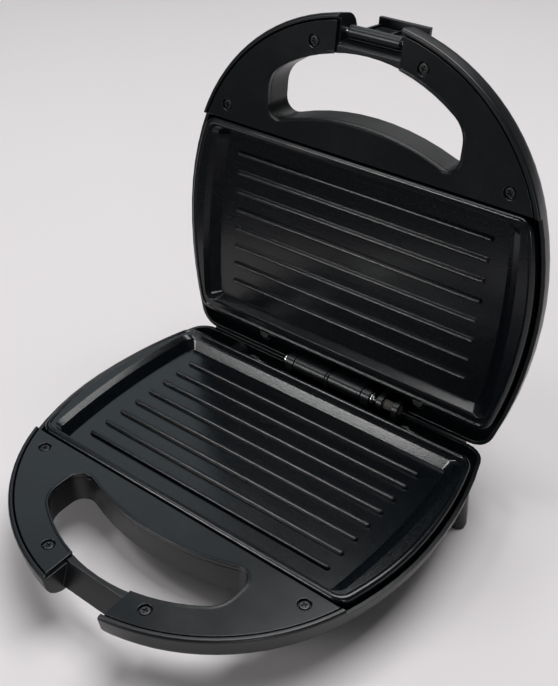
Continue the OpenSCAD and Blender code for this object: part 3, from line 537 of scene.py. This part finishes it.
def ribbed_plate(half):
    """The casting of one half: rim, land, tray, ribs, lugs and studs."""
    bm = bmesh.new()
    sides = [((x, APEX_Y), radius + RIM_GROWTH) for x, radius in (FRONT_ARC, REAR_ARC)]
    rim = filled_outline(bm, sides, front_y=-141.3, rear_y=-10.3, z=-9, corner=6.5, steps=7)
    traced(bm, rim, [(0.1, 6.6)] + quarter(2.2, 180, 90, 5) + quarter(1.2, 90, 35, 3) + [(0.35, -0.12), (0.2, 0)])
    land_z = rim.verts[0].co.z / MM
    bmesh.ops.delete(bm, geom=[rim], context="FACES_ONLY")
    tray = filled_outline(bm, [((-313, -70), 420)], front_y=-137.2, rear_y=-17.15, z=land_z, corner=5.8, steps=12)
    traced(bm, tray, [(0.25, 0)])
    land = [e for e in bm.edges if e.is_boundary and abs(e.verts[0].co.z - land_z * MM) < 1e-6]
    bmesh.ops.triangle_fill(bm, use_beauty=True, edges=land)
    traced(bm, tray, [(0.1, -0.03), (0.5, -1.5)])
    bmesh.ops.scale(bm, vec=(0.9684, 1, 1), verts=tray.verts)
    traced(bm, tray, [(0.12, -0.1), (0.14, -0.2), (2.9, -5.25)])
    bmesh.ops.scale(bm, vec=(0.982, 1, 1), verts=tray.verts)
    traced(bm, tray, [(0.4, 0)])
    floor_z = tray.verts[0].co.z / MM
    for face in bm.faces:
        face.normal_update()
    bmesh.ops.recalc_face_normals(bm, faces=bm.faces)
    if tray.normal.z < 0:
        bmesh.ops.reverse_faces(bm, faces=bm.faces)
    bmesh.ops.solidify(bm, geom=bm.faces[:], thickness=2.2 * MM)
    for number in range(RIBS):
        rib(bm, FIRST_RIB_Y - RIB_PITCH * number, floor_z - 0.05)
    for x in (-58, 58):
        lug(bm, x, -5.6, -19)
    for x in (-71, 71):
        lug(bm, x, -147.5, -136)
    for x in (-40, 10, 50):
        bmesh.ops.create_cone(bm, cap_ends=True, segments=24, radius1=4 * MM, radius2=4 * MM, depth=7 * MM,
                              matrix=Matrix.Translation((x * MM, -77 * MM, -14 * MM)))
    print(half, "plate: land", round(land_z, 2), "floor", round(floor_z, 2))
    return finish_piece(bm, half + "_ribbed_plate", half, PLACE[half], coated_plate, "coated_plate",
                        [half + "_plate"], smooth=40)


for half in ("base", "lid"):
    ribbed_plate(half)

# %% [markdown]
# ## Housings, covers and latch
# These mouldings are right in the CAD model, but its edges are knife sharp and its curves are short flats. A copy of
# each is merged, its flat triangles are dissolved into whole faces, every edge gets a small radius like the one that
# polishing leaves in a mould, and the shading is smoothed over the curves.

# %% Moulded copies
ATTEMPTS, STRAY_SHARE = 8, 1.3
MERGE_METRES, FLAT_DEGREES = 2e-6, 0.8


def rounded_edges(bm, radius, corner=32):
    """Rounds every sharp edge. Where a bevel shoots out past its own edge, the edges near it stay sharp."""
    surface = BVHTree.FromBMesh(bm)
    bm.edges.index_update()
    sharp = {e.index for e in bm.edges if e.is_manifold and e.calc_face_angle() > math.radians(corner)}
    for attempt in range(ATTEMPTS):
        trial = bm.copy()
        trial.edges.ensure_lookup_table()
        bmesh.ops.bevel(trial, geom=[trial.edges[i] for i in sharp], offset=radius * MM, offset_type="OFFSET",
                        affect="EDGES", segments=2, profile=0.5, material=-1, loop_slide=True)
        astray = [v for v in trial.verts
                  if surface.find_nearest(v.co)[3] > STRAY_SHARE * radius * MM]
        if not astray:
            break
        roots = [e.other_vert(v).co.copy() for v in astray for e in v.link_edges]
        trial.free()
        bm.edges.ensure_lookup_table()
        reach = (2 + attempt) * radius * MM
        sharp -= {i for i in sharp if any((v.co - root).length < reach for v in bm.edges[i].verts for root in roots)}
    bm.free()
    return trial, len(sharp)


def moulded(node, name, body, material, slot, radius):
    """A copy of a CAD node with merged faces and rounded edges."""
    bm = bmesh.new()
    bm.from_mesh(frame["nodes"][node].data)
    bmesh.ops.remove_doubles(bm, verts=bm.verts, dist=MERGE_METRES)
    bmesh.ops.dissolve_limit(bm, angle_limit=math.radians(FLAT_DEGREES), use_dissolve_boundaries=False,
                             verts=bm.verts[:], edges=bm.edges[:])
    bm, count = rounded_edges(bm, radius)
    print(name, "rounds", count, "edges")
    return finish_piece(bm, name, body, Matrix.Identity(4), material, slot, [node], smooth=50)


moulded("base_housing", "base_moulding", "base", housing_plastic, "housing_plastic", 0.35)
moulded("lid_housing", "lid_moulding", "lid", housing_plastic, "housing_plastic", 0.35)
moulded("base_handle_cover", "base_cover_panel", "base", cover_plastic, "cover_plastic", 0.4)
moulded("lid_handle_cover", "lid_cover_panel", "lid", cover_plastic, "cover_plastic", 0.4)
moulded("latch", "latch_moulding", "latch", housing_plastic, "housing_plastic", 0.3)

# %% [markdown]
# ## The screws of the handle covers
# Four short cross-head screws hold each cover. Their heads lie sunk in round recesses, so that a dark ring shows round
# each. A cross cut with a boolean would leave thin slivers; here the head is a disc filled round a cross-shaped face,
# which then sinks. The four crosses of a cover stop at different turns, as driven screws do.

# %% Cover screws
FIRST_TURN, NEXT_TURN = 17, 61


def cross_screw(bm, place):
    """A round head with a sunk cross, and its shank below."""
    part = bmesh.new()
    bmesh.ops.create_circle(part, segments=32, radius=2.75 * MM)
    outer = list(part.edges)
    corners = [Matrix.Rotation(math.radians(90 * k), 2) @ Vector(c) for k in range(4)
               for c in ((0.42, 0.42), (0.42, 1.6), (-0.42, 1.6))]
    cross = part.faces.new([part.verts.new((c.x * MM, c.y * MM, 0)) for c in corners])
    bmesh.ops.triangle_fill(part, use_beauty=True, edges=outer + list(cross.edges))
    traced(part, cross, [(0.06, -0.12), (0.12, -0.85)])
    side = bmesh.ops.extrude_edge_only(part, edges=outer)["geom"]
    bottom = [v for v in side if isinstance(v, bmesh.types.BMVert)]
    bmesh.ops.translate(part, vec=(0, 0, -1.4 * MM), verts=bottom)
    bmesh.ops.contextual_create(part, geom=[e for e in side if isinstance(e, bmesh.types.BMEdge) and e.is_boundary])
    bmesh.ops.bevel(part, geom=outer, offset=0.4 * MM, offset_type="OFFSET", affect="EDGES", segments=3,
                    profile=0.5, material=-1)
    bmesh.ops.create_cone(part, cap_ends=True, segments=20, radius1=1.0 * MM, radius2=1.4 * MM, depth=6.4 * MM,
                          matrix=Matrix.Translation((0, 0, -4.5 * MM)))
    bmesh.ops.transform(part, matrix=place, verts=part.verts)
    made = bpy.data.meshes.new("screw")
    part.to_mesh(made)
    part.free()
    bm.from_mesh(made)
    bpy.data.meshes.remove(made)


for half in ("base", "lid"):
    inward = PLACE[half].inverted()
    points = [inward @ v.co for v in frame["nodes"][half + "_cover_screws"].data.vertices]
    bm = bmesh.new()
    for number, (side, front) in enumerate(((1, True), (-1, True), (1, False), (-1, False))):
        own = [p for p in points if p.x * side > 0 and (p.y < -0.176) == front]
        middle = [(min(p[i] for p in own) + max(p[i] for p in own)) / 2 for i in (0, 1)]
        cross_screw(bm, Matrix.Translation((*middle, max(p.z for p in own) - 0.0003))
                    @ Matrix.Rotation(math.radians(FIRST_TURN + NEXT_TURN * number), 4, "Z"))
    finish_piece(bm, half + "_cover_fixings", half, PLACE[half], black_screws, "black_screws",
                 [half + "_cover_screws"], smooth=30)

# %% [markdown]
# ## The rest of the CAD pieces
# Pins, pads, straps and the hidden pieces keep their CAD shape, which is exact, and only take their finish.

# %% Finishes for the CAD pieces
FINISH = {name: material for name, material in globals().items() if isinstance(material, bpy.types.Material)}
slot_of = {part["node"]: part["material_slot"] for part in frame["record"]["subparts"]}
for node, piece in frame["nodes"].items():
    piece.data.materials.clear()
    piece.data.materials.append(FINISH[slot_of[node]])
print("CAD pieces finished:", len(slot_of))

# %% [markdown]
# ## The floor
# A sheet of pale paper lies under everything, and its colour drifts a little. It is turned with the camera and set back
# until its near edge is just out of view, so that what faces down and forwards mirrors the dim room and not the paper.

# %% Floor
FLOOR_TURN, FLOOR_SHIFT, FLOOR_HALF = -39.5, (-0.3, 1.75, 0), 2.0
bm = bmesh.new()
bmesh.ops.create_grid(bm, x_segments=8, y_segments=8, size=FLOOR_HALF,
                      matrix=Matrix.Rotation(math.radians(FLOOR_TURN), 4, "Z") @ Matrix.Translation(FLOOR_SHIFT))
mesh = bpy.data.meshes.new("floor")
bm.to_mesh(mesh)
bm.free()
floor = bpy.data.objects.new("floor", mesh)
bpy.context.scene.collection.objects.link(floor)
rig.stage(floor)
paper = Recipe("floor_paper", Roughness=0.85, Specular_IOR_Level=0.2)
paper.colour(paper.blend(paper.noise(1.5, 2, 0.5), tone(0.60, 0.575, 0.585), tone(0.63, 0.605, 0.615)))
floor.data.materials.append(paper.material)
print("floor:", FLOOR_HALF * 2, "m square")

# %% [markdown]
# ## Lamps and room
# A broad lamp overhead and a little behind gives the soft shadow in front. A black object shows only what it mirrors,
# so the other lamps stand where its surfaces look: a low window lights the tray walls and the ribs, a pale wall the
# handle covers, and small windows the hinge and the side. The room itself is a plain dome of dim light.

# %% Lamps and room
def lamp(name, place, aim, width, height, power, colour=(1, 1, 1)):
    """A soft rectangular lamp that faces a point."""
    data = bpy.data.lights.new(name, "AREA")
    data.shape, data.size, data.size_y, data.energy, data.color = "RECTANGLE", width, height, power, colour
    made = bpy.data.objects.new(name, data)
    made.location = place
    made.rotation_euler = (Vector(aim) - Vector(place)).to_track_quat("-Z", "Y").to_euler()
    bpy.context.scene.collection.objects.link(made)
    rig.stage(made)
    return made


lamp("overhead", (0.04, 0.45, 1.87), (0, 0, 0.1), 1.3, 1.3, 38)
lamp("low_window", (-0.86, -1.66, 0.66), (0, 0, 0.05), 0.62, 0.26, 13.5)
lamp("side_window", (1.58, -1.23, 0.45), (0, 0, 0.05), 0.16, 0.6, 4)
lamp("pale_wall", (-1.5, 1.17, 1.6), (0, 0, 0), 1.3, 0.75, 2.7, (0.8, 0.93, 1.0))
lamp("hinge_window", (-0.9, -0.59, 1.8), (0, 0, 0.05), 0.4, 0.4, 6)
lamp("rear_wall", (-0.75, 2.05, 1.15), (0, 0, 0.15), 1.7, 0.5, 3)
world = bpy.data.worlds.new("room")
world.use_nodes = True
world.node_tree.nodes["Background"].inputs["Color"].default_value = (0.96, 0.98, 1.0, 1)
world.node_tree.nodes["Background"].inputs["Strength"].default_value = 0.08
bpy.context.scene.world = world
print("lamps:", len(bpy.data.lights))

# %% [markdown]
# ## Sizes
# Both boxes, of the CAD model and of the dressed model, are measured and written down.

# %% Sizes and finish
seen_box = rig.bounds()
with open("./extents.json", "w") as out:
    json.dump({"cad": [list(map(float, corner)) for corner in cad_box],
               "seen": [list(map(float, corner)) for corner in seen_box]}, out)
print("CAD box", [[round(v, 4) for v in c] for c in cad_box], "seen", [[round(v, 4) for v in c] for c in seen_box])
